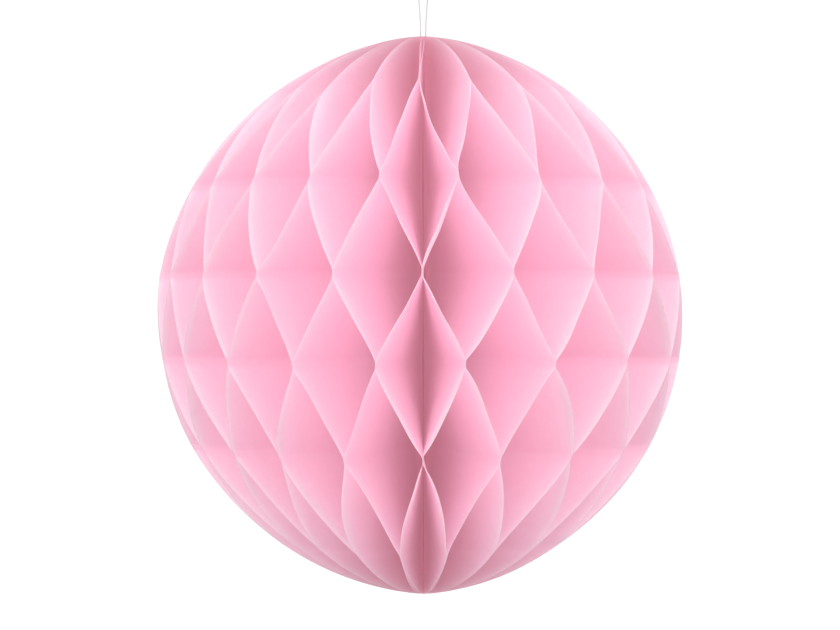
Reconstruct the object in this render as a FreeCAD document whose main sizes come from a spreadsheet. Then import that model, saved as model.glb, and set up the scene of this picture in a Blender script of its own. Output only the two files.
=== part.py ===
"""Hanging honeycomb ball of tissue paper.

Forty half-round tissue leaves stand round a vertical spine like the pages of a fully opened book.
Each leaf is glued to the leaf on either side along short horizontal rows, at alternating heights, so
every leaf zigzags from one neighbour to the other and the gaps between leaves open into cells.
A card cover backs the first and the last leaf; three pads of double-sided tape hold the covers
together. Two rings of thread gather the leaves near the ends of the spine, and a knotted thread down
the spine carries the ball and its hanging loop.

The origin is the centre of the ball, +Z points up the spine and -Y is the front.
"""
import FreeCAD
import Part
import Sketcher
import math
import os
from FreeCAD import Placement, Rotation, Vector

# Millimetres, except the counts, the fan's lean in radians, and the squeeze and lift, which are shares.
SIZES = {
    # tissue leaves
    "leaf_count": 40,
    "leaf_thickness": 0.2,
    "leaf_clearance": 0.1,
    "sheet_radius": 150,
    "sheet_setback": 10,
    "hub_radius": 2.5,
    "rim_squeeze": 0.03,
    "fan_lean": 0.14,
    "end_lift": 0.8,
    "spare": 2,
    # glue rows: distances on the flat sheet from row_level, in two sets that alternate from leaf
    # to leaf; one set is the other upside down
    "row_far": 123,
    "row_middle": 70.3,
    "row_near": 22.5,
    "row_level": -1.6,
    "glue_height": 4,
    # card covers and the tape between them
    "cover_thickness": 0.3,
    "cover_gap": 0.25,
    "cover_margin": 6,
    "cover_edge": 3,
    "tape_thickness": 0.2,
    "tape_width": 12,
    "tape_height": 30,
    "tape_rim_distance": 120,
    "tape_side_distance": 85,
    "tape_side_height": 80,
    # threads
    "stitch_radius": 5,
    "stitch_height": 139,
    "stitch_thread": 0.6,
    "stitch_hole": 1.6,
    "thread_width": 0.8,
    "knot_radius": 2.9,
    "knot_low": 144,
    "knot_high": 147.8,
    "knot_pocket_radius": 4,
    "knot_pocket_height": 143.5,
}

# Route of the hanging loop in the XZ plane: up from the top knot, round a hook, and down again.
LOOP_UP = [(-1.35, 147.8), (-1.35, 157), (-2.7, 174), (-4.0, 192), (-4.75, 205), (-4.75, 213)]
LOOP_ROUTE = LOOP_UP + [(-across, height) for across, height in reversed(LOOP_UP)]
# How much of the shorter run at a corner its arc may take.
ARC_SHARE = 0.45

doc = FreeCAD.newDocument("HoneycombBall")
sheet = doc.addObject("Spreadsheet::Sheet", "Sizes")
for line, (alias, number) in enumerate(SIZES.items(), start=1):
    sheet.set(f"A{line}", alias)
    sheet.set(f"B{line}", str(number))
    sheet.setAlias(f"B{line}", alias)
doc.recompute()


def size(alias):
    """A driving dimension, read back from the spreadsheet."""
    return float(sheet.get(alias))


leaf_count = int(size("leaf_count"))
rim_radius = size("sheet_radius") - size("sheet_setback")
# Half the room between the first and the last leaf, where the covers and the tape go.
seam_half = size("cover_gap") / 2 + size("cover_thickness") + size("leaf_clearance") / 2


def plane(body, role):
    """One of a body's own origin planes."""
    return next(feature for feature in body.Origin.OriginFeatures if feature.Role == role)


def new_body(label):
    body = doc.addObject("PartDesign::Body", label)
    body.Label = label
    return body


def new_sketch(body, name, role, distance=None):
    """A sketch on an origin plane, moved along the plane's normal by an expression."""
    sketch = body.newObject("Sketcher::SketchObject", f"{body.Name}_{name}")
    sketch.AttachmentSupport = [(plane(body, role), "")]
    sketch.MapMode = "FlatFace"
    if distance:
        sketch.setExpression(".AttachmentOffset.Base.z", distance)
    return sketch


def add_loop(sketch, points):
    """A closed outline of straight lines."""
    for start, end in zip(points, points[1:] + points[:1]):
        sketch.addGeometry(Part.LineSegment(Vector(*start, 0), Vector(*end, 0)), False)


def bind(sketch, kind, geometry, expression, *where):
    """A dimension whose value is an expression of the spreadsheet's cells."""
    if kind == "Radius":
        drawn = sketch.Geometry[geometry].Radius
    elif kind == "DistanceX":
        drawn = sketch.getPoint(geometry, *where).x
    else:
        drawn = sketch.getPoint(geometry, *where).y
    index = sketch.addConstraint(Sketcher.Constraint(kind, geometry, *where, drawn))
    sketch.setExpression(f"Constraints[{index}]", expression)


def add_stitch_holes(sketch):
    """The two holes near the spine that the thread rings run through."""
    for side, sign in ((1, ""), (-1, "-")):
        centre = Vector(size("stitch_radius"), side * size("stitch_height"), 0)
        circle = sketch.addGeometry(Part.Circle(centre, Vector(0, 0, 1), size("stitch_hole") / 2), False)
        bind(sketch, "Radius", circle, "Sizes.stitch_hole / 2")
        bind(sketch, "DistanceX", circle, "Sizes.stitch_radius", 3)
        bind(sketch, "DistanceY", circle, f"{sign}Sizes.stitch_height", 3)


def fan_angle(column):
    """Angle about the spine of a column of glue rows, from the front, in radians.

    Column 0 is the seam behind the first leaf. The fan is a little tighter on the left.
    """
    even = 2 * math.pi * column / leaf_count - math.pi
    return even + size("fan_lean") * (1 - math.cos(even))


def squeeze(radius):
    """How much of its flat height a leaf keeps at this distance from the spine."""
    share = (radius - size("hub_radius")) / (rim_radius - size("hub_radius"))
    return 1 - size("rim_squeeze") * share


def glue_rows(leaf):
    """Flat heights of a leaf's glue rows from the bottom up, with the side each is glued on."""
    odd_side = -1 if leaf % 2 else 1
    rows = []
    for height in (size("row_far"), size("row_near"), -size("row_middle")):
        rows.append((size("row_level") + height, odd_side))
        rows.append((size("row_level") - height, -odd_side))
    return sorted(rows)


def zigzag(leaf, radius, half_angle):
    """Outline of a leaf's cross-section at one distance from the spine, as (across, up) points."""
    reach = radius * math.tan(half_angle) - size("leaf_thickness") / 2 - size("leaf_clearance") / 2
    half_glue = size("glue_height") / 2
    past_the_edge = size("sheet_radius") + size("spare")
    rows = glue_rows(leaf)
    middle = [(size("end_lift") * rows[0][1], -past_the_edge)]
    for height, side in rows:
        middle += [(side, height - half_glue), (side, height + half_glue)]
    middle.append((size("end_lift") * rows[-1][1], past_the_edge))
    half = size("leaf_thickness") / 2
    right = [(side * reach + half, height * squeeze(radius)) for side, height in middle]
    left = [(side * reach - half, height * squeeze(radius)) for side, height in reversed(middle)]
    return right + left


def rim_curve():
    """The free edge of a leaf from bottom to top, as it stands in the open ball."""
    tip = math.sqrt(size("sheet_radius") ** 2 - (size("hub_radius") + size("sheet_setback")) ** 2)
    points = []
    steps = 12
    for step in range(-steps, steps + 1):
        height = tip * math.sin(math.pi / 2 * step / steps)
        radius = math.sqrt(size("sheet_radius") ** 2 - height ** 2) - size("sheet_setback")
        points.append(Vector(radius, height * squeeze(radius), 0))
    curve = Part.BSplineCurve()
    curve.interpolate(points)
    return curve, points[0], points[-1]


def make_leaf(leaf):
    """One tissue leaf, glued to its neighbours on both sides."""
    start, end = fan_angle(leaf - 1), fan_angle(leaf)
    body = new_body(f"leaf_{leaf:02d}")
    inner = new_sketch(body, "at_hub", "YZ_Plane", "Sizes.hub_radius")
    add_loop(inner, zigzag(leaf, size("hub_radius"), (end - start) / 2))
    past_rim = "Sizes.sheet_radius - Sizes.sheet_setback + Sizes.spare"
    outer = new_sketch(body, "past_rim", "YZ_Plane", past_rim)
    add_loop(outer, zigzag(leaf, rim_radius + size("spare"), (end - start) / 2))
    fold = body.newObject("PartDesign::AdditiveLoft", f"{body.Name}_folds")
    fold.Profile = inner
    fold.Sections = [outer]
    fold.Ruled = True

    # Everything outside the rim goes, and a notch at each end of the spine makes room for the knots.
    outline = new_sketch(body, "outline", "XZ_Plane")
    curve, low, high = rim_curve()
    outline.addGeometry(curve, False)
    beyond = 1.2 * size("sheet_radius")
    corners = [(high.x, high.y), (high.x, beyond), (beyond, beyond)]
    corners += [(beyond, -beyond), (low.x, -beyond), (low.x, low.y)]
    for first, second in zip(corners, corners[1:]):
        outline.addGeometry(Part.LineSegment(Vector(*first, 0), Vector(*second, 0)), False)
    add_stitch_holes(outline)
    trim = body.newObject("PartDesign::Pocket", f"{body.Name}_trim")
    trim.Profile = outline
    trim.Midplane = True
    trim.setExpression("Length", "Sizes.sheet_radius")

    notches = new_sketch(body, "notches", "XZ_Plane")
    width = size("knot_pocket_radius")
    for side in (1, -1):
        inside, outside = side * size("knot_pocket_height"), side * beyond
        add_loop(notches, [(0, inside), (width, inside), (width, outside), (0, outside)])
    notch = body.newObject("PartDesign::Pocket", f"{body.Name}_notch")
    notch.Profile = notches
    notch.Midplane = True
    notch.setExpression("Length", "Sizes.sheet_radius")

    # Leaves near the seam stand aside for the covers, less and less towards the front.
    half_count = leaf_count / 2
    from_seam = min(leaf, leaf_count + 1 - leaf) - 0.5
    aside = seam_half * (1 - from_seam / half_count) * (1 if leaf <= half_count else -1)
    place(body, (start + end) / 2, aside)
    return body


def place(obj, angle, aside=0.0):
    """Stand a piece made in its own XZ plane at an angle about the spine, moved across by aside."""
    turn = Rotation(Vector(0, 0, 1), math.degrees(angle) - 90)
    obj.Placement = Placement(turn.multVec(Vector(0, aside, 0)), turn)


def make_cover(label, angle, side):
    """A half-round card cover whose seam face looks back across the seam; side is +1 or -1."""
    body = new_body(label)
    sign = "-" if side > 0 else ""
    outline = new_sketch(body, "outline", "XZ_Plane", f"{sign}Sizes.cover_gap / 2")
    radius = size("sheet_radius") - size("cover_margin")
    edge = size("cover_edge")
    half_turn = math.acos((edge + size("sheet_setback")) / radius)
    centre = Vector(-size("sheet_setback"), 0, 0)
    circle = Part.Circle(centre, Vector(0, 0, 1), radius)
    rim = outline.addGeometry(Part.ArcOfCircle(circle, -half_turn, half_turn), False)
    tip = radius * math.sin(half_turn)
    outline.addGeometry(Part.LineSegment(Vector(edge, tip, 0), Vector(edge, -tip, 0)), False)
    join_cover_outline(outline, rim)
    add_stitch_holes(outline)
    card = body.newObject("PartDesign::Pad", f"{label}_card")
    card.Profile = outline
    card.setExpression("Length", "Sizes.cover_thickness")
    card.Reversed = side > 0
    place(body, angle)
    return body


def join_cover_outline(outline, rim):
    """Close the half-round outline and bind its radius, centre and straight edge to the sheet."""
    edge = rim + 1
    outline.addConstraint(Sketcher.Constraint("Coincident", rim, 2, edge, 1))
    outline.addConstraint(Sketcher.Constraint("Coincident", rim, 1, edge, 2))
    outline.addConstraint(Sketcher.Constraint("Vertical", edge))
    outline.addConstraint(Sketcher.Constraint("PointOnObject", rim, 3, -1))
    bind(outline, "Radius", rim, "Sizes.sheet_radius - Sizes.cover_margin")
    bind(outline, "DistanceX", rim, "-Sizes.sheet_setback", 3)
    bind(outline, "DistanceX", edge, "Sizes.cover_edge", 1)


def make_tape(label, distance, height):
    """A pad of double-sided tape on the seam face of the left cover."""
    pad = doc.addObject("Part::Box", label)
    pad.Label = label
    pad.setExpression("Length", "Sizes.tape_width")
    pad.setExpression("Width", "Sizes.tape_thickness")
    pad.setExpression("Height", "Sizes.tape_height")
    turn = Rotation(Vector(0, 0, 1), math.degrees(fan_angle(0)) - 90)
    across = size("cover_gap") / 2 - size("tape_thickness")
    corner = Vector(distance - size("tape_width") / 2, across, height - size("tape_height") / 2)
    pad.Placement = Placement(turn.multVec(corner), turn)
    return pad


def make_stitch(label, side):
    """A ring of thread through the holes of every leaf and both covers."""
    ring = doc.addObject("Part::Torus", label)
    ring.Label = label
    ring.setExpression("Radius1", "Sizes.stitch_radius")
    ring.setExpression("Radius2", "Sizes.stitch_thread / 2")
    ring.Placement.Base = Vector(0, 0, side * size("stitch_height"))
    return ring


def make_knot(label, side):
    """A barrel-shaped knot in the spine thread, flat where the threads leave it."""
    body = new_body(label)
    half = new_sketch(body, "half", "XZ_Plane")
    low, high, radius = size("knot_low"), size("knot_high"), size("knot_radius")
    flat = radius - (high - low) / 2
    middle = (low + high) / 2
    bulge = Part.Arc(Vector(flat, low, 0), Vector(radius, middle, 0), Vector(flat, high, 0))
    half.addGeometry(bulge, False)
    rest = [(flat, high), (0, high), (0, low), (flat, low)]
    for first, second in zip(rest, rest[1:]):
        half.addGeometry(Part.LineSegment(Vector(*first, 0), Vector(*second, 0)), False)
    turned = body.newObject("PartDesign::Revolution", f"{label}_turned")
    turned.Profile = half
    turned.ReferenceAxis = (half, ["V_Axis"])
    turned.Angle = 360
    if side < 0:
        body.Placement = Placement(Vector(), Rotation(Vector(1, 0, 0), 180))
    return body


def make_spine_thread():
    """The straight thread down the middle of the ball, from knot to knot."""
    thread = doc.addObject("Part::Cylinder", "spine_thread")
    thread.Label = "spine_thread"
    thread.setExpression("Radius", "Sizes.thread_width / 2")
    thread.setExpression("Height", "2 * Sizes.knot_low")
    thread.Placement.Base = Vector(0, 0, -size("knot_low"))
    return thread


def rounded_path(corners):
    """Straight runs joined by tangent arcs, as large as the two runs at each corner allow."""
    edges, radii = [], []
    last = corners[0]
    for before, corner, after in zip(corners, corners[1:], corners[2:]):
        incoming, outgoing = corner - before, after - corner
        turn = incoming.getAngle(outgoing)
        cut = ARC_SHARE * min(incoming.Length, outgoing.Length)
        radii.append(cut / math.tan(turn / 2))
        to_next = Vector(outgoing).normalize()
        to_last = Vector(incoming).normalize() * -1
        start, end = corner + to_last * cut, corner + to_next * cut
        inward = (to_last + to_next).normalize()
        sag = radii[-1] / math.cos(turn / 2) - radii[-1]
        edges.append(Part.LineSegment(last, start).toShape())
        edges.append(Part.Arc(start, corner + inward * sag, end).toShape())
        last = end
    edges.append(Part.LineSegment(last, corners[-1]).toShape())
    print("loop arc radii:", [round(radius, 1) for radius in radii])
    return Part.Wire(edges)


def make_hanging_loop():
    """The thread loop that the ball hangs by, as a round tube along its route."""
    corners = [Vector(across, 0, height) for across, height in LOOP_ROUTE]
    path = rounded_path(corners)
    radius = size("thread_width") / 2
    section = Part.Wire([Part.Circle(corners[0], corners[1] - corners[0], radius).toShape()])
    tube = path.makePipeShell([section], True, False)
    wanted = math.pi * radius ** 2 * path.Length
    print("loop length:", round(path.Length, 1), "volume ratio:", round(tube.Volume / wanted, 4))
    loop = doc.addObject("Part::Feature", "hanging_loop")
    loop.Label = "hanging_loop"
    loop.Shape = tube
    return loop


def check(pieces):
    """Stop before anything is written if a feature failed or a piece isn't one sound solid."""
    for obj in doc.Objects:
        if "Invalid" in obj.State or "Error" in obj.State:
            raise RuntimeError(f"{obj.Label} did not build: {obj.State}")
    for piece in pieces:
        shape = piece.Shape
        if shape.isNull() or not shape.isValid() or len(shape.Solids) != 1:
            raise RuntimeError(f"{piece.Label} is not one valid solid")


pieces = [make_leaf(leaf) for leaf in range(1, leaf_count + 1)]
pieces.append(make_cover("cover_left", fan_angle(0), 1))
pieces.append(make_cover("cover_right", fan_angle(leaf_count), -1))
pieces.append(make_tape("seam_tape_upper", size("tape_side_distance"), size("tape_side_height")))
pieces.append(make_tape("seam_tape_middle", size("tape_rim_distance"), 0))
pieces.append(make_tape("seam_tape_lower", size("tape_side_distance"), -size("tape_side_height")))
pieces.append(make_stitch("top_stitch", 1))
pieces.append(make_stitch("bottom_stitch", -1))
pieces.append(make_knot("top_knot", 1))
pieces.append(make_knot("bottom_knot", -1))
pieces.append(make_spine_thread())
pieces.append(make_hanging_loop())
doc.recompute()
check(pieces)

os.makedirs("parts", exist_ok=True)
for piece in pieces:
    piece.Shape.exportStep(f"parts/{piece.Label}.step")
print(len(pieces), "pieces")
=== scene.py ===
"""The look of the hanging honeycomb ball: tissue leaves, card covers, tape, threads, light and camera.

Metres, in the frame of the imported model: the origin is the ball's centre, +Z runs up the spine and
-Y is the front. Angles about the spine are measured from the front, growing towards +X.
"""
import math

import bpy
import numpy as np
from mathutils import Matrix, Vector


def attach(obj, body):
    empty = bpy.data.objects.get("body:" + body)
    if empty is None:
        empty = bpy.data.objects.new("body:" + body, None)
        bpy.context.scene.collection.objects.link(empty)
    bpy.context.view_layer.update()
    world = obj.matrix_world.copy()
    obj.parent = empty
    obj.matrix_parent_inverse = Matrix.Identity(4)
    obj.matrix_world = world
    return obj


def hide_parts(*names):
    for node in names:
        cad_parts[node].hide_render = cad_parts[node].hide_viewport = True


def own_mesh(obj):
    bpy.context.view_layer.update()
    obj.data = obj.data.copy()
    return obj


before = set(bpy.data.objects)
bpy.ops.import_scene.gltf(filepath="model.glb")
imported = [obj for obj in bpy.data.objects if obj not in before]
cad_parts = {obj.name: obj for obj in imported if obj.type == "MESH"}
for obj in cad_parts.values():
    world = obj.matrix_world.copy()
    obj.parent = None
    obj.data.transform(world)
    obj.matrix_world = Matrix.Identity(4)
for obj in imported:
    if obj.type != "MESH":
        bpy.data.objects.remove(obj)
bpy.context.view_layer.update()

MM = 0.001

# ---------------------------------------------------------------- the ball's design, as in the CAD

LEAF_COUNT = 40
FAN_LEAN = 0.14
SHEET_RADIUS = 150 * MM
SHEET_SETBACK = 10 * MM
RIM_RADIUS = SHEET_RADIUS - SHEET_SETBACK
HUB_RADIUS = 2.5 * MM
RIM_SQUEEZE = 0.03
SEAM_HALF = 0.475 * MM
ROW_FAR = 123 * MM
ROW_MIDDLE = 70.3 * MM
ROW_NEAR = 22.5 * MM
ROW_LEVEL = -1.6 * MM
END_LIFT = 0.8
COVER_MARGIN = 6 * MM
COVER_EDGE = 3 * MM
COVER_THICKNESS = 0.3 * MM
COVER_GAP = 0.25 * MM
TAPE_SIZE = (12 * MM, 30 * MM)
TAPE_THICKNESS = 0.2 * MM
TAPES = {
    "seam_tape_upper": (85 * MM, 80 * MM),
    "seam_tape_middle": (120 * MM, 0),
    "seam_tape_lower": (85 * MM, -80 * MM),
}
STITCH_RADIUS = 5 * MM
STITCH_HEIGHT = 139 * MM
STITCH_THREAD = 0.6 * MM
THREAD_WIDTH = 0.8 * MM
SPINE_END = 144 * MM
KNOT_HEIGHT = 145.9 * MM
LOOP_UP = [(-1.35, 147.8), (-1.35, 157), (-2.7, 174), (-4.0, 192), (-4.75, 205), (-4.75, 213)]

# ---------------------------------------------------------------- what only the look needs

TISSUE_THICKNESS = 0.14 * MM
TISSUE_CLEARANCE = 0.01 * MM
TISSUE_TIP = 149.5 * MM
THINNED_EDGE = 0.55
GLUE_HALF = 1.0 * MM
BEND_SHARE = 0.04

# A leaf starts this far from the spine, and is pressed against its neighbours for PRESSED_WIDTH
# from there. Round a knot it leaves a pocket, with a narrower mouth above it.
TISSUE_HUB = 1.6 * MM
PRESSED_WIDTH = 6 * MM
POCKET_RADIUS = 2.9 * MM
POCKET_START = 141.5 * MM
POCKET_RAMP = 2 * MM
MOUTH_RADIUS = 1.9 * MM
MOUTH_START = 147.9 * MM
MOUTH_RAMP = 0.8 * MM

# How finely a leaf is divided.
RADIAL_STEPS = 30
LONGEST_STEP = 3.2 * MM

# The unevenness grows from none at the seam over this angle about the spine, in radians.
SEAM_STIFFNESS = 0.6

# Slow drifts sideways, and lifts: each is millimetres at the rim, waves round the ball, radians
# per metre of height, and where the wave starts.
DRIFTS = [(0.8, 2, 31, 0.6), (0.5, 5, -47, 2.1), (0.3, 11, 83, 4.0)]
LIFTS = [(0.5, 3, 20, 0), (0.4, 7, 0, 1.3)]

# How the pair of leaves at the front leans: millimetres at the rim, the height where it leans
# most, and the spread in height. FRONT_WIDTH is the spread about the spine, in radians.
FRONT_LEANS = [(-3.4, 100 * MM, 45 * MM), (2.6, -80 * MM, 40 * MM)]
FRONT_WIDTH = 0.22
RIM_SHIFT = -1.8 * MM

# Waves in the tissue: millimetres, and how far up the sheet and out along it one radian takes.
# The free edge also curls, within CURL_WIDTH of it. Both calm down towards the spine.
WAVES = [(0.16, 9 * MM, 17 * MM), (0.12, 4.3 * MM, -11 * MM), (0.25, 21 * MM, 38 * MM)]
CURL_RANGE = (1.0, 2.4)
CURL_LENGTH = 33 * MM
CURL_WIDTH = 4.5 * MM
CALM_RADIUS = 60 * MM

# The pale stain along a glue row, and the share of a sheet's light that comes from behind it.
GLUE_PALENESS = 0.5
GLUE_SOFTNESS = 2 * MM
LIGHT_THROUGH_SHARE = 0.55

# The card's least width, at its two tips.
COVER_TIP_WIDTH = 0.2 * MM
# The tape is this much shorter than its solid, to leave room for its torn ends.
TAPE_SHORTER = 0.8 * MM
TORN_DEPTH = 0.35 * MM

# Each thread's plies turn once in this length. A ply's middle and radius are shares of the
# thread's width.
LOOP_PITCH = 3.4 * MM
SPINE_PITCH = 4.5 * MM
STITCH_PITCH = 2.4 * MM
KNOT_PITCH = 2.6 * MM
PLY_MIDDLE = 0.25
PLY_RADIUS = 0.26
STITCH_WANDER = 0.06 * MM

# A knot: how far out its thread runs and swings, and how far up and down; then its wound core.
KNOT_OUT = 1.4
KNOT_SWING = 0.6
KNOT_RISE = 1.2 * MM
CORE_RADIUS = 1.35 * MM
CORE_HALF_HEIGHT = 1.7 * MM
CORE_TAPER = 0.75
CORE_RIDGE = 0.09 * MM
CORE_WINDING = 17

CAMERA_LENS = 89.3
CAMERA_ASIDE = -1.7 * MM
CAMERA_DISTANCE = 8 * RIM_RADIUS

FLOOR_HEIGHT = -0.9
FLOOR_HALF = 3.0

# Each lamp's name, place, size, power in watts, and whether it casts a shadow.
LAMPS = [
    ("key", (-0.7, -2.1, 0.9), 1.4, 1.5, True),
    ("left_fill", (-0.7, -0.5, 0.45), 0.7, 1.45, False),
    ("right_fill", (0.7, -0.5, 0.45), 0.7, 1.3, False),
    ("top_fill", (0, -0.8, 1.2), 0.8, 4.0, False),
]
# How strongly the walls light the ball, and how bright the camera sees them.
WALL_LIGHT = 0.9
WALL_WHITE = 1.1

rng = np.random.default_rng(7)


def smooth(share):
    """An S-shaped ramp from 0 to 1."""
    share = np.clip(share, 0.0, 1.0)
    return share * share * (3 - 2 * share)


def bell(distance, width):
    """A smooth hump: 1 at a distance of 0, and nearly 0 from twice the width on."""
    return np.exp(-(distance / width) ** 2)


def fan_angle(column):
    """Angle about the spine of a column of glue rows, in radians."""
    even = 2 * math.pi * column / LEAF_COUNT - math.pi
    return even + FAN_LEAN * (1 - math.cos(even))


def squeeze(radius):
    """How much of its flat height a leaf keeps at this distance from the spine."""
    return 1 - RIM_SQUEEZE * (radius - HUB_RADIUS) / (RIM_RADIUS - HUB_RADIUS)


def fanned(angle, radius, across, height):
    """Points at a distance out from the spine, and across, from a plane at this angle about it."""
    x = radius * math.sin(angle) + across * math.cos(angle)
    y = -radius * math.cos(angle) + across * math.sin(angle)
    return np.stack([x, y, height], axis=-1)


def handmade(points):
    """The ball's unevenness: slow drifts that grow towards the rim, and the front pair's lean.

    There is none at the seam, where the tissue lies against flat card.
    """
    x, y, z = np.moveaxis(points, -1, 0)
    angle = np.arctan2(x, -y)
    turn = (angle - fan_angle(0)) % (2 * math.pi)
    from_seam = np.minimum(turn, 2 * math.pi - turn)
    reach = np.hypot(x, y) / RIM_RADIUS * smooth(from_seam / SEAM_STIFFNESS)
    drift = sum(size * np.sin(turns * angle + rise * z + start) for size, turns, rise, start in DRIFTS)
    for size, height, spread in FRONT_LEANS:
        drift = drift + size * bell(angle, FRONT_WIDTH) * bell(z - height, spread)
    lift = sum(size * np.sin(turns * angle + rise * z + start) for size, turns, rise, start in LIFTS)
    across = drift * reach * MM
    moved = points.copy()
    moved[..., 0] += across * np.cos(angle) + RIM_SHIFT * reach ** 2
    moved[..., 1] += across * np.sin(angle)
    moved[..., 2] += lift * reach * MM
    return moved


# ---------------------------------------------------------------- camera

def make_camera():
    """Level with the ball's centre and in front of it."""
    data = bpy.data.cameras.new("camera")
    data.sensor_width = 36
    data.lens = CAMERA_LENS
    camera = bpy.data.objects.new("camera", data)
    camera.location = (CAMERA_ASIDE, -CAMERA_DISTANCE, 0)
    camera.rotation_euler = (math.pi / 2, 0, 0)
    bpy.context.scene.collection.objects.link(camera)
    bpy.context.scene.camera = camera


# ---------------------------------------------------------------- materials

class Nodes:
    """A new node material, and short ways to add and join its nodes."""

    def __init__(self, name):
        self.material = bpy.data.materials.new(name)
        self.material.use_nodes = True
        self.tree = self.material.node_tree
        self.tree.nodes.clear()
        self.output = self.tree.nodes.new("ShaderNodeOutputMaterial")

    def add(self, kind, inputs=None, **settings):
        """A node with some inputs set: a socket is linked, and anything else is its value."""
        node = self.tree.nodes.new(kind)
        for key, value in settings.items():
            setattr(node, key, value)
        for key, value in (inputs or {}).items():
            if isinstance(value, bpy.types.NodeSocket):
                self.tree.links.new(value, node.inputs[key])
            else:
                node.inputs[key].default_value = value
        return node

    def noise(self, place, scale, detail, stretch=(1, 1, 1)):
        mapping = self.add("ShaderNodeMapping", {"Vector": place, "Scale": stretch})
        texture = self.add("ShaderNodeTexNoise", {
            "Vector": mapping.outputs["Vector"], "Scale": scale, "Detail": detail,
        })
        return texture.outputs["Fac"]

    def ramp(self, factor, stops):
        node = self.add("ShaderNodeValToRGB", {"Fac": factor})
        elements = node.color_ramp.elements
        while len(elements) < len(stops):
            elements.new(0.5)
        for element, (place, colour) in zip(elements, stops):
            element.position = place
            element.color = (*colour, 1)
        return node.outputs["Color"]

    def mix(self, factor, first, second, kind="MIX"):
        node = self.add("ShaderNodeMix", data_type="RGBA", blend_type=kind)
        for index, value in ((0, factor), (6, first), (7, second)):
            if isinstance(value, bpy.types.NodeSocket):
                self.tree.links.new(value, node.inputs[index])
            elif index == 0:
                node.inputs[index].default_value = value
            else:
                node.inputs[index].default_value = (*value, 1)
        return node.outputs[2]

    def bump(self, height, strength, distance):
        return self.add("ShaderNodeBump", {
            "Height": height, "Strength": strength, "Distance": distance,
        }).outputs["Normal"]

    def finish(self, shader):
        self.tree.links.new(shader.outputs[0], self.output.inputs["Surface"])
        return self.material


def tissue_material():
    """Thin pink tissue: fibres, light through it, pale glue rows; painted light at the rim, painted
    shade at the spine.
    """
    nodes = Nodes("tissue")
    place = nodes.add("ShaderNodeUVMap", uv_map="sheet").outputs["UV"]
    fibres = nodes.noise(place, 1600, 3, (0.22, 1, 1))
    clouds = nodes.noise(place, 190, 4)
    edge = nodes.add("ShaderNodeAttribute", attribute_name="edge").outputs["Fac"]
    glue = nodes.add("ShaderNodeAttribute", attribute_name="glue").outputs["Fac"]
    out = nodes.add("ShaderNodeAttribute", attribute_name="out").outputs["Fac"]

    # Painted light: the tissue's pink is paler near the free edge, as if lit there, and fades inward.
    rim_lit_pink = nodes.ramp(edge, [
        (0.0, (0.99, 0.91, 0.95)),
        (0.014, (0.985, 0.88, 0.93)),
        (0.020, (0.985, 0.85, 0.915)),
        (0.09, (0.985, 0.825, 0.895)),
    ])
    # Painted shade: the tissue's colour is darkened and warmed towards the spine, where the folds get
    # little light.
    shade = nodes.ramp(out, [
        (0.0, (0.94, 0.84, 0.86)),
        (0.12, (0.89, 0.79, 0.81)),
        (0.30, (0.915, 0.85, 0.87)),
        (0.50, (0.97, 0.965, 0.97)),
        (0.68, (1, 1, 1)),
    ])
    pale = nodes.mix(glue, nodes.mix(1.0, rim_lit_pink, shade, "MULTIPLY"), (0.98, 0.86, 0.92))
    mottle = nodes.ramp(clouds, [(0.3, (0.99, 0.975, 0.98)), (0.7, (1, 1, 1))])
    streaks = nodes.ramp(fibres, [(0.25, (0.99, 0.975, 0.98)), (0.75, (1, 1, 1))])
    colour = nodes.mix(1.0, nodes.mix(1.0, pale, mottle, "MULTIPLY"), streaks, "MULTIPLY")

    grain = nodes.bump(fibres, 0.25, 0.03 * MM)
    front = nodes.add("ShaderNodeBsdfPrincipled", {
        "Base Color": colour, "Normal": grain,
        "Roughness": 0.85, "Specular IOR Level": 0.2, "Sheen Weight": 0.1,
    })
    pinker = nodes.mix(1.0, colour, (1.0, 0.93, 0.955), "MULTIPLY")
    through = nodes.add("ShaderNodeBsdfTranslucent", {"Color": pinker})
    return nodes.finish(nodes.add("ShaderNodeMixShader", {
        0: LIGHT_THROUGH_SHARE, 1: front.outputs[0], 2: through.outputs[0],
    }))


def card_material():
    """Uncoated white card: faint grey flecks and fibres, a little rough."""
    nodes = Nodes("card")
    place = nodes.add("ShaderNodeUVMap", uv_map="sheet").outputs["UV"]
    fibres = nodes.noise(place, 2200, 4, (1, 0.3, 1))
    flecks = nodes.noise(place, 900, 2)
    clouds = nodes.noise(place, 110, 4)
    base = nodes.ramp(clouds, [(0.3, (0.82, 0.79, 0.78)), (0.7, (0.85, 0.825, 0.81))])
    specks = nodes.ramp(flecks, [(0.24, (0.72, 0.68, 0.66)), (0.34, (1, 1, 1))])
    colour = nodes.mix(1.0, base, specks, "MULTIPLY")
    rough = nodes.add("ShaderNodeMapRange", {"Value": fibres, "To Min": 0.7, "To Max": 0.9})
    return nodes.finish(nodes.add("ShaderNodeBsdfPrincipled", {
        "Base Color": colour, "Roughness": rough.outputs[0],
        "Normal": nodes.bump(fibres, 0.4, 0.04 * MM), "Specular IOR Level": 0.3,
    }))


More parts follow.
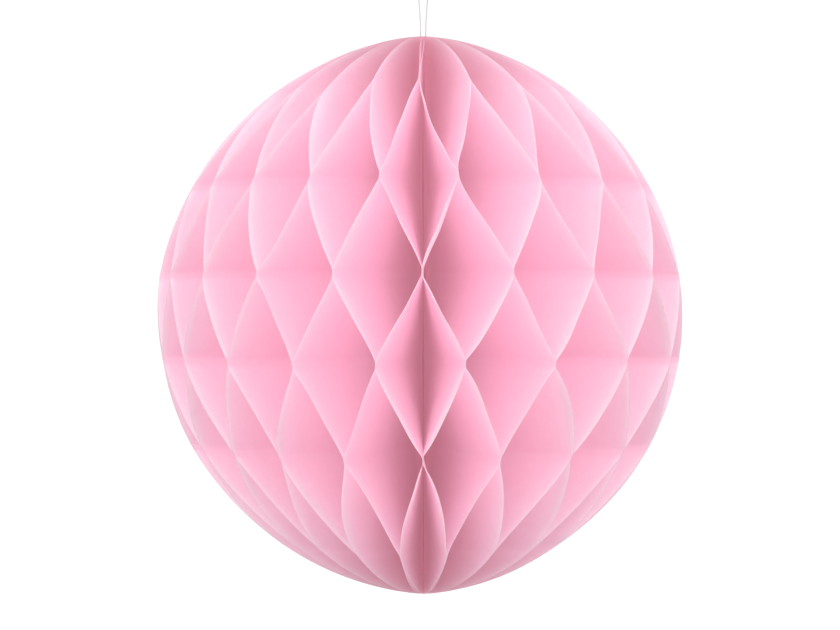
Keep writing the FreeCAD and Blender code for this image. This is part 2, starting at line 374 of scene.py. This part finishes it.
def tape_material():
    """Double-sided tape: milky adhesive over a thin tissue core, with small trapped bubbles."""
    nodes = Nodes("tape")
    place = nodes.add("ShaderNodeTexCoord").outputs["Object"]
    bubbles = nodes.noise(place, 700, 2)
    streaks = nodes.noise(place, 300, 3, (1, 1, 0.2))
    base = nodes.ramp(streaks, [(0.3, (0.80, 0.78, 0.70)), (0.7, (0.88, 0.86, 0.80))])
    spots = nodes.ramp(bubbles, [(0.28, (0.8, 0.8, 0.78)), (0.36, (1, 1, 1))])
    rough = nodes.add("ShaderNodeMapRange", {"Value": bubbles, "To Min": 0.25, "To Max": 0.5})
    return nodes.finish(nodes.add("ShaderNodeBsdfPrincipled", {
        "Base Color": nodes.mix(1.0, base, spots, "MULTIPLY"), "Roughness": rough.outputs[0],
        "Normal": nodes.bump(bubbles, 0.3, 0.05 * MM),
    }))


def thread_material():
    """Pale grey cotton thread: fine fibres along it, and a soft sheen."""
    nodes = Nodes("thread")
    place = nodes.add("ShaderNodeTexCoord").outputs["Object"]
    fibres = nodes.noise(place, 5200, 4, (1, 1, 0.35))
    shade = nodes.noise(place, 420, 2)
    base = nodes.ramp(shade, [(0.3, (0.84, 0.84, 0.84)), (0.7, (0.93, 0.93, 0.92))])
    streaks = nodes.ramp(fibres, [(0.3, (0.9, 0.9, 0.9)), (0.65, (1, 1, 1))])
    rough = nodes.add("ShaderNodeMapRange", {"Value": fibres, "To Min": 0.75, "To Max": 0.55})
    return nodes.finish(nodes.add("ShaderNodeBsdfPrincipled", {
        "Base Color": nodes.mix(1.0, base, streaks, "MULTIPLY"), "Roughness": rough.outputs[0],
        "Normal": nodes.bump(fibres, 0.5, 0.03 * MM), "Sheen Weight": 0.25,
    }))


# ---------------------------------------------------------------- meshes

def add_object(name, vertices, faces, material):
    """A smooth-shaded object at the origin, with its place in its mesh."""
    mesh = bpy.data.meshes.new(name)
    mesh.from_pydata([tuple(v) for v in vertices], [], faces)
    mesh.materials.append(material)
    mesh.polygons.foreach_set("use_smooth", [True] * len(mesh.polygons))
    mesh.update()
    piece = bpy.data.objects.new(name, mesh)
    bpy.context.scene.collection.objects.link(piece)
    return piece


def soft_edged(grid, thickness):
    """Half a sheet's thickness at each point of its grid, thinner along its four edges."""
    depth = np.full(grid.shape, thickness / 2)
    for border in (np.s_[0, :], np.s_[-1, :], np.s_[:, 0], np.s_[:, -1]):
        depth[border] *= THINNED_EDGE
    return depth


def sheet_object(name, angle, radius, across, height, depth, layout, material):
    """A closed thin sheet from a grid of points in the middle of it, half its thickness at each."""
    sides = [handmade(fanned(angle, radius, across + side * depth, height)) for side in (-1, 1)]
    vertices = np.concatenate([side.reshape(-1, 3) for side in sides])
    rows, columns = radius.shape
    count = rows * columns
    index = np.arange(count).reshape(rows, columns)
    corners = [index[:-1, :-1], index[:-1, 1:], index[1:, 1:], index[1:, :-1]]
    low_side = np.stack(corners, axis=-1).reshape(-1, 4)
    high_side = low_side[:, ::-1] + count
    around = np.concatenate([index[0, :-1], index[:-1, -1], index[-1, :0:-1], index[:0:-1, 0]])
    onward = np.roll(around, -1)
    edge = np.stack([onward, around, around + count, onward + count], axis=-1)
    faces = np.vstack([low_side, high_side, edge])
    piece = add_object(name, vertices, faces.tolist(), material)

    mesh = piece.data
    owners = np.empty(len(mesh.loops), np.int32)
    mesh.loops.foreach_get("vertex_index", owners)
    flat_places = np.tile(layout.reshape(-1, 2), (2, 1))[owners]
    mesh.uv_layers.new(name="sheet").data.foreach_set("uv", flat_places.astype(np.float32).ravel())
    return piece


def add_values(piece, name, values):
    """Store one number at each point of a sheet's grid, on both its faces."""
    layer = piece.data.attributes.new(name, "FLOAT", "POINT")
    layer.data.foreach_set("value", np.tile(values.ravel(), 2).astype(np.float32))


# ---------------------------------------------------------------- tissue leaves

def glue_rows(leaf):
    """Flat heights of a leaf's glue rows from the bottom up, with the side each is glued on."""
    odd_side = -1 if leaf % 2 else 1
    rows = []
    for height in (ROW_FAR, ROW_NEAR, -ROW_MIDDLE):
        rows.append((ROW_LEVEL + height, odd_side))
        rows.append((ROW_LEVEL - height, -odd_side))
    return sorted(rows)


def eased(share):
    """A straight ramp from 0 to 1 whose two ends bend in over BEND_SHARE of its length."""
    slope = 1 / (1 - BEND_SHARE)
    start = slope * share ** 2 / (2 * BEND_SHARE)
    middle = slope * (share - BEND_SHARE / 2)
    end = 1 - slope * (1 - share) ** 2 / (2 * BEND_SHARE)
    return np.where(share < BEND_SHARE, start, np.where(share > 1 - BEND_SHARE, end, middle))


def side_at(heights, rows):
    """Which side of its wedge a leaf stands on, from -1 to 1, at each flat height."""
    side = np.empty_like(heights)
    for (low, from_side), (high, to_side) in zip(rows, rows[1:]):
        start, end = low + GLUE_HALF, high - GLUE_HALF
        here = (heights >= low) & (heights <= high)
        share = np.clip((heights[here] - start) / (end - start), 0, 1)
        side[here] = from_side + (to_side - from_side) * eased(share)
    for past, (row, row_side) in (
        (heights < rows[0][0], rows[0]),
        (heights > rows[-1][0], rows[-1]),
    ):
        room = SHEET_RADIUS - abs(row)
        beyond = (np.abs(heights[past]) - abs(row) - GLUE_HALF) / room
        side[past] = row_side * (1 - (1 - END_LIFT) * smooth(beyond))
    return side


def leaf_heights(rows):
    """Flat heights of a leaf's rows of points: close together where it bends and at its tips."""
    marks = [-TISSUE_TIP, TISSUE_TIP]
    for row, _ in rows:
        for step in (GLUE_HALF, 1.5 * GLUE_HALF, 2.4 * GLUE_HALF, 4 * GLUE_HALF):
            marks += [row - step, row + step]
        marks.append(row)
    turns = np.arcsin(np.array(sorted(marks)) / SHEET_RADIUS)
    heights = []
    for low, high in zip(turns, turns[1:]):
        steps = max(1, math.ceil((high - low) * SHEET_RADIUS / LONGEST_STEP))
        heights += [low + (high - low) * step / steps for step in range(steps)]
    return SHEET_RADIUS * np.sin(np.array([*heights, turns[-1]]))


def inner_edge(heights):
    """Where a leaf starts, out from the spine: round each knot it leaves a pocket with a mouth."""
    depth = np.abs(heights)
    pocket = smooth((depth - POCKET_START) / POCKET_RAMP)
    mouth = smooth((depth - MOUTH_START) / MOUTH_RAMP)
    start = TISSUE_HUB + (POCKET_RADIUS - TISSUE_HUB) * pocket
    return start + (MOUTH_RADIUS - POCKET_RADIUS) * mouth


def leaf_plane(leaf):
    """The angle of a leaf's middle plane, half the angle of its wedge, and its shift at the seam."""
    start, end = fan_angle(leaf - 1), fan_angle(leaf)
    half_count = LEAF_COUNT / 2
    from_seam = min(leaf, LEAF_COUNT + 1 - leaf) - 0.5
    aside = SEAM_HALF * (1 - from_seam / half_count) * (1 if leaf <= half_count else -1)
    return (start + end) / 2, (end - start) / 2, aside


def creases(radius, flat, side):
    """Soft waves and a curled free edge, which die out at the glue rows and towards the hub."""
    free = (1 - side ** 4) * smooth(radius / CALM_RADIUS)
    *starts, curl_start = rng.uniform(0, 2 * math.pi, len(WAVES) + 1)
    waves = 0
    for (size, up, out), start in zip(WAVES, starts):
        waves = waves + size * np.sin(flat / up + radius / out + start)
    from_rim = SHEET_RADIUS - np.hypot(radius + SHEET_SETBACK, flat)
    curl = rng.uniform(*CURL_RANGE) * np.sin(flat / CURL_LENGTH + curl_start)
    waves += curl * (1 - np.clip(from_rim / CURL_WIDTH, 0, 1))
    return waves * free * MM


def make_leaf(leaf, material):
    """One tissue leaf: a thin sheet that zigzags between the leaves on either side."""
    angle, half_wedge, aside = leaf_plane(leaf)
    rows = glue_rows(leaf)
    heights = leaf_heights(rows)
    inner = inner_edge(heights)
    outer = np.sqrt(SHEET_RADIUS ** 2 - heights ** 2) - SHEET_SETBACK
    # Close together at the free edge, so that its colour and curl are smooth there.
    shares = 1 - (1 - np.linspace(0, 1, RADIAL_STEPS + 1)) ** 1.5
    radius = inner[:, None] + (outer - inner)[:, None] * shares
    flat = np.repeat(heights[:, None], RADIAL_STEPS + 1, axis=1)
    side = np.repeat(side_at(heights, rows)[:, None], RADIAL_STEPS + 1, axis=1)

    room = radius * math.tan(half_wedge) - TISSUE_CLEARANCE
    # At the spine the leaves are pressed together, so each fills its wedge there.
    pressed = 1 - smooth((radius - TISSUE_HUB) / PRESSED_WIDTH)
    depth = np.maximum(soft_edged(radius, TISSUE_THICKNESS), pressed * room)
    reach = room - depth
    across = side * reach + creases(radius, flat, side) + aside
    node = f"leaf_{leaf:02d}"
    layout = np.stack([radius + leaf * SHEET_RADIUS, flat], axis=-1)
    piece = sheet_object(
        f"tissue_{node}", angle, radius, across, flat * squeeze(radius), depth, layout, material,
    )
    from_rim = SHEET_RADIUS - np.hypot(radius + SHEET_SETBACK, flat)
    # Share of the way in from the free edge; it drives the painted light along the rim.
    add_values(piece, "edge", from_rim / RIM_RADIUS)
    # Share of the way out from the spine; it drives the painted shade near the spine.
    add_values(piece, "out", radius / RIM_RADIUS)
    nearest = np.min([np.abs(flat - row) for row, _ in rows], axis=0)
    glue = GLUE_PALENESS * bell(nearest, GLUE_SOFTNESS) * smooth(radius / RIM_RADIUS)
    add_values(piece, "glue", glue)

    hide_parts(node)
    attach(piece, node)
    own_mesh(piece)
    return piece


# ---------------------------------------------------------------- covers and tape

def make_cover(node, angle, side, material):
    """A half-round card cover; side is +1 or -1, the side of the seam that it is on."""
    radius_of_cover = SHEET_RADIUS - COVER_MARGIN
    tip = math.sqrt(radius_of_cover ** 2 - (COVER_EDGE + SHEET_SETBACK + COVER_TIP_WIDTH) ** 2)
    turn = math.asin(tip / radius_of_cover)
    heights = radius_of_cover * np.sin(np.linspace(-turn, turn, 121))
    outer = np.sqrt(radius_of_cover ** 2 - heights ** 2) - SHEET_SETBACK
    shares = np.concatenate([[0, 0.002], np.linspace(0.02, 0.98, 30), [0.998, 1]])
    radius = COVER_EDGE + (outer - COVER_EDGE)[:, None] * shares
    flat = np.repeat(heights[:, None], len(shares), axis=1)
    across = np.full(radius.shape, side * (COVER_GAP + COVER_THICKNESS) / 2)
    layout = np.stack([radius, flat], axis=-1)
    piece = sheet_object(
        f"card_{node}", angle, radius, across, flat, soft_edged(radius, COVER_THICKNESS),
        layout, material,
    )
    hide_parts(node)
    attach(piece, node)
    return piece


def make_tape(node, distance, height, material):
    """A pad of tape on the left cover's seam face, with its two short ends torn off by hand."""
    width, length = TAPE_SIZE
    shares = np.concatenate([[0, 0.02], np.linspace(0.06, 0.94, 14), [0.98, 1]])
    columns, rows = np.meshgrid(shares, shares)
    ragged = np.sin(columns * 19 + rng.uniform(0, 6)) * rng.uniform(0.5, 1, columns.shape)
    torn = TORN_DEPTH * ragged * np.abs(2 * rows - 1) ** 6
    radius = distance + (columns - 0.5) * width
    flat = height + (rows - 0.5) * (length - TAPE_SHORTER) + torn
    across = np.full(radius.shape, (COVER_GAP - TAPE_THICKNESS) / 2)
    layout = np.stack([radius, flat], axis=-1)
    piece = sheet_object(
        f"pad_{node}", fan_angle(0), radius, across, flat, soft_edged(radius, TAPE_THICKNESS),
        layout, material,
    )
    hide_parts(node)
    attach(piece, "cover_left")
    return piece


# ---------------------------------------------------------------- threads

def frames_along(points, closed):
    """Two directions square to a line at each of its points, which turn as little as they can."""
    ahead = np.roll(points, -1, 0) - np.roll(points, 1, 0)
    if not closed:
        ahead[0], ahead[-1] = points[1] - points[0], points[-1] - points[-2]
    ahead /= np.linalg.norm(ahead, axis=1, keepdims=True)

    def square(vector, direction):
        vector = vector - direction * (vector @ direction)
        return vector / np.linalg.norm(vector)

    across = [square(np.array([0.3, 0.9, 0.2]), ahead[0])]
    for direction in ahead[1:]:
        across.append(square(across[-1], direction))
    if closed:
        # Spread what the last direction misses the first by over the whole line.
        last = square(across[-1], ahead[0])
        miss = math.atan2(np.cross(last, across[0]) @ ahead[0], last @ across[0])
        for index, direction in enumerate(ahead):
            turn = miss * index / len(points)
            beside = np.cross(direction, across[index])
            across[index] = math.cos(turn) * across[index] + math.sin(turn) * beside
    across = np.array(across)
    return across, np.cross(ahead, across)


def tube(points, radius, closed, sides=8):
    """The vertices and faces of a round tube along a line of points."""
    across, beside = frames_along(points, closed)
    turns = np.linspace(0, 2 * math.pi, sides, endpoint=False)
    ring = np.cos(turns)[:, None, None] * across + np.sin(turns)[:, None, None] * beside
    vertices = (points + radius * ring).transpose(1, 0, 2).reshape(-1, 3)
    count = len(points)
    faces = []
    for step in range(count if closed else count - 1):
        here, there = step * sides, (step + 1) % count * sides
        for turn in range(sides):
            beyond = (turn + 1) % sides
            faces.append((here + turn, here + beyond, there + beyond, there + turn))
    if not closed:
        faces.append(tuple(range(sides - 1, -1, -1)))
        faces.append(tuple(range((count - 1) * sides, count * sides)))
    return vertices, faces


def add_thread(name, points, width, pitch, closed, material, extra=()):
    """A thread of three plies laid round a line; extra is more (vertices, faces) in the same piece."""
    points = np.asarray(points, float)
    gaps = np.linalg.norm(np.diff(points, axis=0), axis=1)
    length = gaps.sum()
    along = np.concatenate([[0], np.cumsum(gaps)]) / length
    turns = round(length / pitch)
    if closed:
        along *= 1 - 1 / len(points)
    across, beside = frames_along(points, closed)
    vertices, faces = [], []
    parts = list(extra)
    for ply in range(3):
        twist = 2 * math.pi * (turns * along + ply / 3)[:, None]
        line = points + PLY_MIDDLE * width * (np.cos(twist) * across + np.sin(twist) * beside)
        parts.append(tube(line, PLY_RADIUS * width, closed))
    for part_vertices, part_faces in parts:
        start = len(vertices)
        vertices += list(part_vertices)
        faces += [tuple(start + corner for corner in face) for face in part_faces]
    return add_object(name, vertices, faces, material)


def attach_thread(piece, node):
    """Put a thread in the place of its CAD node, on the spine."""
    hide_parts(node)
    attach(piece, "spine")


def make_hanging_loop(material):
    """The loop that the ball hangs by, from the top knot up and back down into it."""
    up = [(x * MM, 0, z * MM) for x, z in LOOP_UP]
    down = [(-x, y, z) for x, y, z in reversed(up)]
    route = up + down
    curve = bpy.data.curves.new("loop_route", "CURVE")
    curve.dimensions = "3D"
    curve.resolution_u = 48
    spline = curve.splines.new("NURBS")
    spline.points.add(len(route) - 1)
    for point, place in zip(spline.points, route):
        point.co = (*place, 1)
    spline.order_u = 3
    spline.use_endpoint_u = True
    guide = bpy.data.objects.new("loop_route", curve)
    line = bpy.data.meshes.new_from_object(guide)
    points = np.array([v.co for v in line.vertices])
    bpy.data.objects.remove(guide)
    bpy.data.meshes.remove(line)
    piece = add_thread("thread_hanging_loop", points, THREAD_WIDTH, LOOP_PITCH, False, material)
    attach_thread(piece, "hanging_loop")


def make_spine_thread(material):
    """The straight thread down the hub, from knot to knot."""
    heights = np.linspace(-SPINE_END, SPINE_END, 640)
    points = np.stack([0 * heights, 0 * heights, heights], axis=-1)
    piece = add_thread("thread_spine", points, THREAD_WIDTH, SPINE_PITCH, False, material)
    attach_thread(piece, "spine_thread")


def make_stitch(node, height, material):
    """A ring of thread sewn through every leaf and both covers."""
    turns = np.linspace(0, 2 * math.pi, 240, endpoint=False)
    wander = STITCH_WANDER * np.sin(9 * turns + 1.0)
    points = np.stack([
        STITCH_RADIUS * np.cos(turns), STITCH_RADIUS * np.sin(turns), height + wander,
    ], axis=-1)
    piece = add_thread(f"thread_{node}", points, STITCH_THREAD, STITCH_PITCH, True, material)
    attach_thread(piece, node)
    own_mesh(piece)


def wound_core(height):
    """The inside of a knot: a small barrel with the ridges of thread wound round it."""
    rows, sides = 40, 48
    rise = np.linspace(-1, 1, rows)[:, None]
    turns = np.linspace(0, 2 * math.pi, sides, endpoint=False)
    ridges = CORE_RIDGE * np.cos(turns - rise * CORE_WINDING)
    radius = CORE_RADIUS * (1 - np.abs(rise) ** 5 * CORE_TAPER) + ridges
    up = height + CORE_HALF_HEIGHT * rise + 0 * turns
    vertices = np.stack([radius * np.cos(turns), radius * np.sin(turns), up], axis=-1).reshape(-1, 3)
    faces = []
    for row in range(rows - 1):
        for side in range(sides):
            here, beside = row * sides + side, row * sides + (side + 1) % sides
            faces.append((here, beside, beside + sides, here + sides))
    faces.append(tuple(range(sides - 1, -1, -1)))
    faces.append(tuple(range((rows - 1) * sides, rows * sides)))
    return vertices, faces


def make_knot(node, height, material):
    """An overhand knot pulled tight over its own turns."""
    turn = np.linspace(0, 2 * math.pi, 220, endpoint=False)
    out = (KNOT_OUT + KNOT_SWING * np.cos(3 * turn)) * MM
    up = height + KNOT_RISE * np.sin(3 * turn)
    points = np.stack([out * np.cos(2 * turn), out * np.sin(2 * turn), up], axis=-1)
    piece = add_thread(
        f"thread_{node}", points, THREAD_WIDTH, KNOT_PITCH, True, material,
        extra=[wound_core(height)],
    )
    attach_thread(piece, node)


# ---------------------------------------------------------------- stage and light

def make_floor():
    """A pale matt floor well below the ball, out of the front view."""
    nodes = Nodes("floor")
    place = nodes.add("ShaderNodeTexCoord").outputs["Object"]
    clouds = nodes.noise(place, 3, 2)
    colour = nodes.ramp(clouds, [(0, (0.74, 0.74, 0.74)), (1, (0.78, 0.78, 0.78))])
    matt = nodes.add("ShaderNodeBsdfPrincipled", {"Base Color": colour, "Roughness": 0.9})
    corners = [
        (x * FLOOR_HALF, y * FLOOR_HALF, FLOOR_HEIGHT) for x, y in ((-1, -1), (1, -1), (1, 1), (-1, 1))
    ]
    add_object("floor", corners, [(0, 1, 2, 3)], nodes.finish(matt))


def make_lights(paper):
    """White walls all round, a soft key in front on the left, and fills that pass through tissue.

    Some light comes through several thin leaves and reaches far in. The fills stand for it: they
    cast no shadow and light only the ball's paper.
    """
    paper_only = bpy.data.collections.new("paper_only")
    for piece in paper:
        paper_only.objects.link(piece)
    world = bpy.data.worlds.new("studio")
    world.use_nodes = True
    tree = world.node_tree
    background = tree.nodes["Background"]
    background.inputs["Color"].default_value = (1, 1, 1, 1)
    ray = tree.nodes.new("ShaderNodeLightPath")
    strength = tree.nodes.new("ShaderNodeMapRange")
    strength.inputs["To Min"].default_value = WALL_LIGHT
    strength.inputs["To Max"].default_value = WALL_WHITE
    tree.links.new(ray.outputs["Is Camera Ray"], strength.inputs["Value"])
    tree.links.new(strength.outputs[0], background.inputs["Strength"])
    bpy.context.scene.world = world
    bpy.context.scene.view_settings.view_transform = "Standard"
    for name, place, across, power, casts_shadow in LAMPS:
        data = bpy.data.lights.new(name, "AREA")
        data.size = across
        data.energy = power
        data.use_shadow = casts_shadow
        lamp = bpy.data.objects.new(name, data)
        lamp.location = place
        lamp.rotation_euler = (-Vector(place)).to_track_quat("-Z", "Y").to_euler()
        bpy.context.scene.collection.objects.link(lamp)
        if not casts_shadow:
            lamp.light_linking.receiver_collection = paper_only


make_camera()
thread = thread_material()
make_hanging_loop(thread)
tissue = tissue_material()
paper = [make_leaf(leaf, tissue) for leaf in range(1, LEAF_COUNT + 1)]
card = card_material()
paper.append(make_cover("cover_left", fan_angle(0), 1, card))
paper.append(make_cover("cover_right", fan_angle(LEAF_COUNT), -1, card))
tape = tape_material()
for node, (distance, height) in TAPES.items():
    paper.append(make_tape(node, distance, height, tape))
make_spine_thread(thread)
for node, height in (("top_stitch", STITCH_HEIGHT), ("bottom_stitch", -STITCH_HEIGHT)):
    make_stitch(node, height, thread)
for node, height in (("top_knot", KNOT_HEIGHT), ("bottom_knot", -KNOT_HEIGHT)):
    make_knot(node, height, thread)
make_floor()
make_lights(paper)
